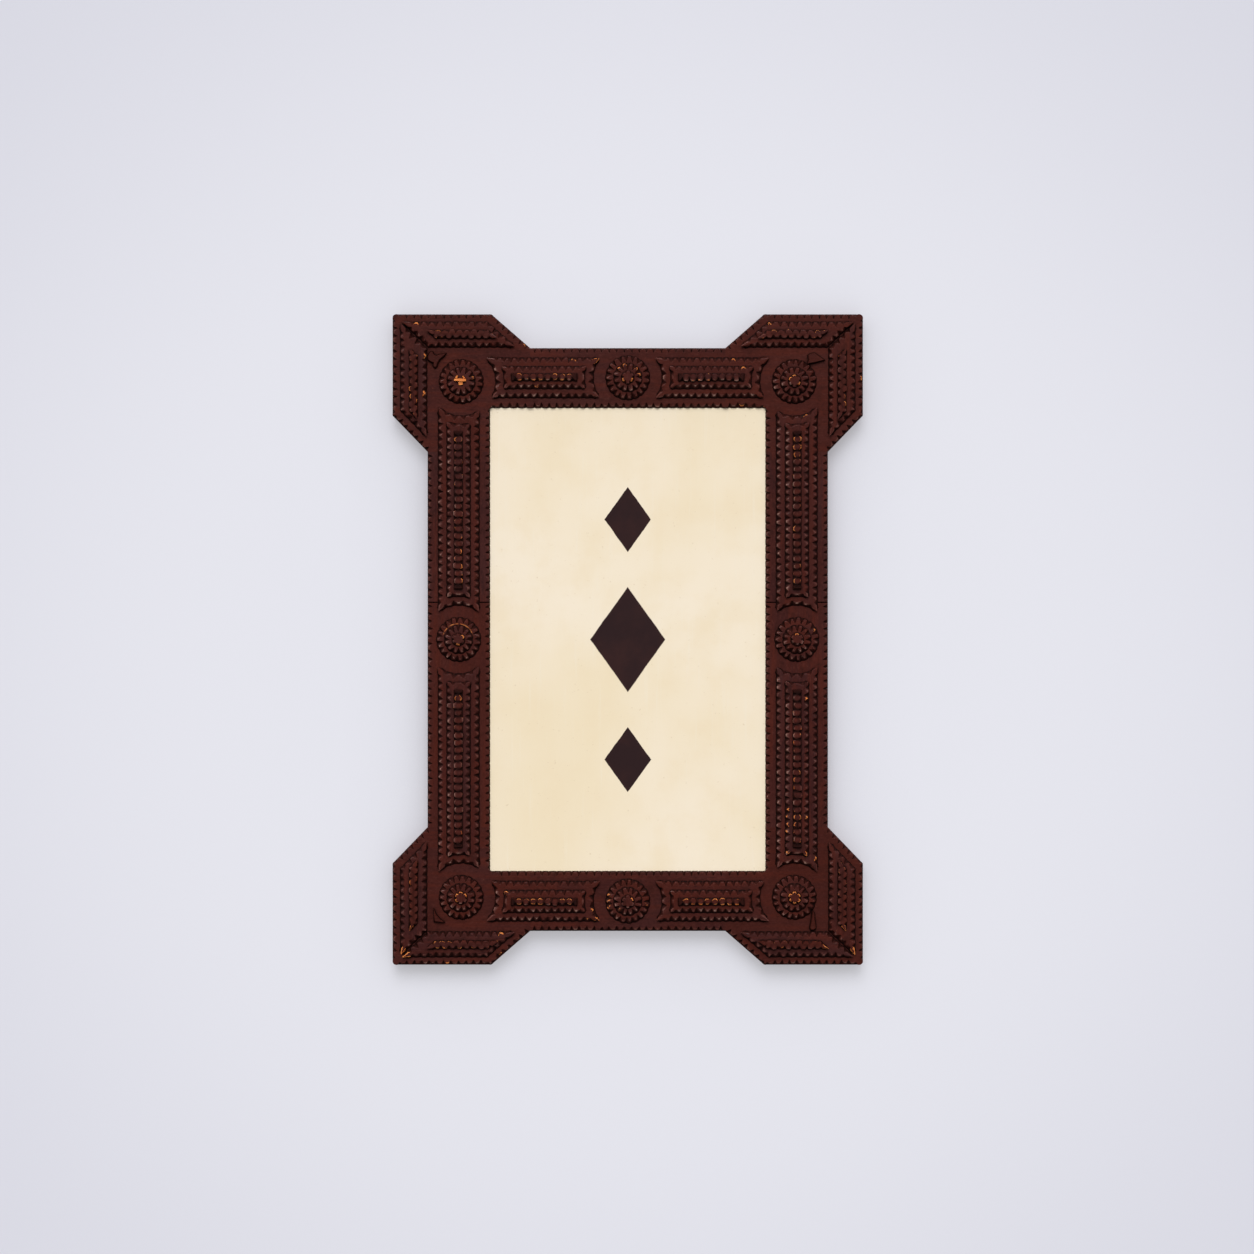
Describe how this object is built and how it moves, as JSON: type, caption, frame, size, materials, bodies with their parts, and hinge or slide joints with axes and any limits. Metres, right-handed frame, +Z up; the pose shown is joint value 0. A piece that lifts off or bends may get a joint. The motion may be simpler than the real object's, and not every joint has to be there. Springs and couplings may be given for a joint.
{
  "type": "wooden mirror frame",
  "caption": "Notch-carved layered wooden wall frame with eared corners, scalloped rosettes, a sight recess holding a flat board, turn buttons and a hanging ring on the back.",
  "frame": {"origin": "middle of the box round the whole frame", "axes": "+X to the right seen from the front, +Y out of the back towards the wall, +Z up; the carved front faces -Y"},
  "size_m": [0.376, 0.0263, 0.52],
  "materials": {
    "pine": "aged bare softwood, sawn back, stained edges",
    "facing_wood": "thin hardwood slats, dark red-brown shellac, worn",
    "carved_wood": "notched slats, dark red-brown shellac, worn bare at tips",
    "back_wood": "aged thin softwood board",
    "painted_board": "cream matt paint on a thin board",
    "nail_steel": "rusted wire nails",
    "screw_steel": "dulled slotted round-head screws",
    "hanger_brass": "tarnished brass"
  },
  "bodies": {
    "frame": {"backing_rail_top": "pine", "facing_rail_top": "facing_wood", "rail_second_layer_top": "carved_wood", "rosette_top": "carved_wood", "backing_rail_bottom": "pine", "facing_rail_bottom": "facing_wood", "rail_second_layer_bottom": "carved_wood", "rosette_bottom": "carved_wood", "backing_stile_left": "pine", "stile_second_layer_left": "carved_wood", "rosette_left": "carved_wood", "backing_stile_right": "pine", "stile_second_layer_right": "carved_wood", "rosette_right": "carved_wood", "ear_block_top_left": "pine", "facing_corner_top_left": "facing_wood", "rail_panel_top_left": "carved_wood", "ear_chevron_top_left": "carved_wood", "rosette_top_left": "carved_wood", "ear_block_top_right": "pine", "facing_corner_top_right": "facing_wood", "rail_panel_top_right": "carved_wood", "ear_chevron_top_right": "carved_wood", "rosette_top_right": "carved_wood", "ear_block_bottom_left": "pine", "facing_corner_bottom_left": "facing_wood", "rail_panel_bottom_left": "carved_wood", "ear_chevron_bottom_left": "carved_wood", "rosette_bottom_left": "carved_wood", "ear_block_bottom_right": "pine", "facing_corner_bottom_right": "facing_wood", "rail_panel_bottom_right": "carved_wood", "ear_chevron_bottom_right": "carved_wood", "rosette_bottom_right": "carved_wood", "facing_stile_left_upper": "facing_wood", "stile_panel_left_upper": "carved_wood", "facing_stile_right_upper": "facing_wood", "stile_panel_right_upper": "carved_wood", "facing_stile_left_lower": "facing_wood", "stile_panel_left_lower": "carved_wood", "facing_stile_right_lower": "facing_wood", "stile_panel_right_lower": "carved_wood", "rail_ridge_strips": "carved_wood", "stile_ridge_strips": "carved_wood", "ear_ridge_strips": "carved_wood", "corner_leaves": "carved_wood", "rosette_middle_discs": "carved_wood", "rosette_top_discs": "carved_wood", "lap_nails": "nail_steel", "insert_board": "painted_board", "backboard": "back_wood", "hanger_strap": "hanger_brass", "back_screws": "screw_steel"},
    "hanger_ring": {"hanger_ring": "hanger_brass"},
    "turn_button_upper_left": {"turn_button_upper_left": "hanger_brass"},
    "turn_button_upper_right": {"turn_button_upper_right": "hanger_brass"},
    "turn_button_lower_left": {"turn_button_lower_left": "hanger_brass"},
    "turn_button_lower_right": {"turn_button_lower_right": "hanger_brass"}
  },
  "joints": [
    {"name": "ring_swing", "type": "hinge", "parent": "frame", "child": "hanger_ring", "pos_m": [0, 0.01105, 0.211], "axis": [1, 0, 0], "range_deg": [0, 180]},
    {"name": "button_turn_upper_left", "type": "hinge", "parent": "frame", "child": "turn_button_upper_left", "pos_m": [-0.126, 0.00885, 0.095], "axis": [0, 1, 0], "continuous": true},
    {"name": "button_turn_upper_right", "type": "hinge", "parent": "frame", "child": "turn_button_upper_right", "pos_m": [0.126, 0.00885, 0.095], "axis": [0, 1, 0], "continuous": true},
    {"name": "button_turn_lower_left", "type": "hinge", "parent": "frame", "child": "turn_button_lower_left", "pos_m": [-0.126, 0.00885, -0.095], "axis": [0, 1, 0], "continuous": true},
    {"name": "button_turn_lower_right", "type": "hinge", "parent": "frame", "child": "turn_button_lower_right", "pos_m": [0.126, 0.00885, -0.095], "axis": [0, 1, 0], "continuous": true}
  ]
}
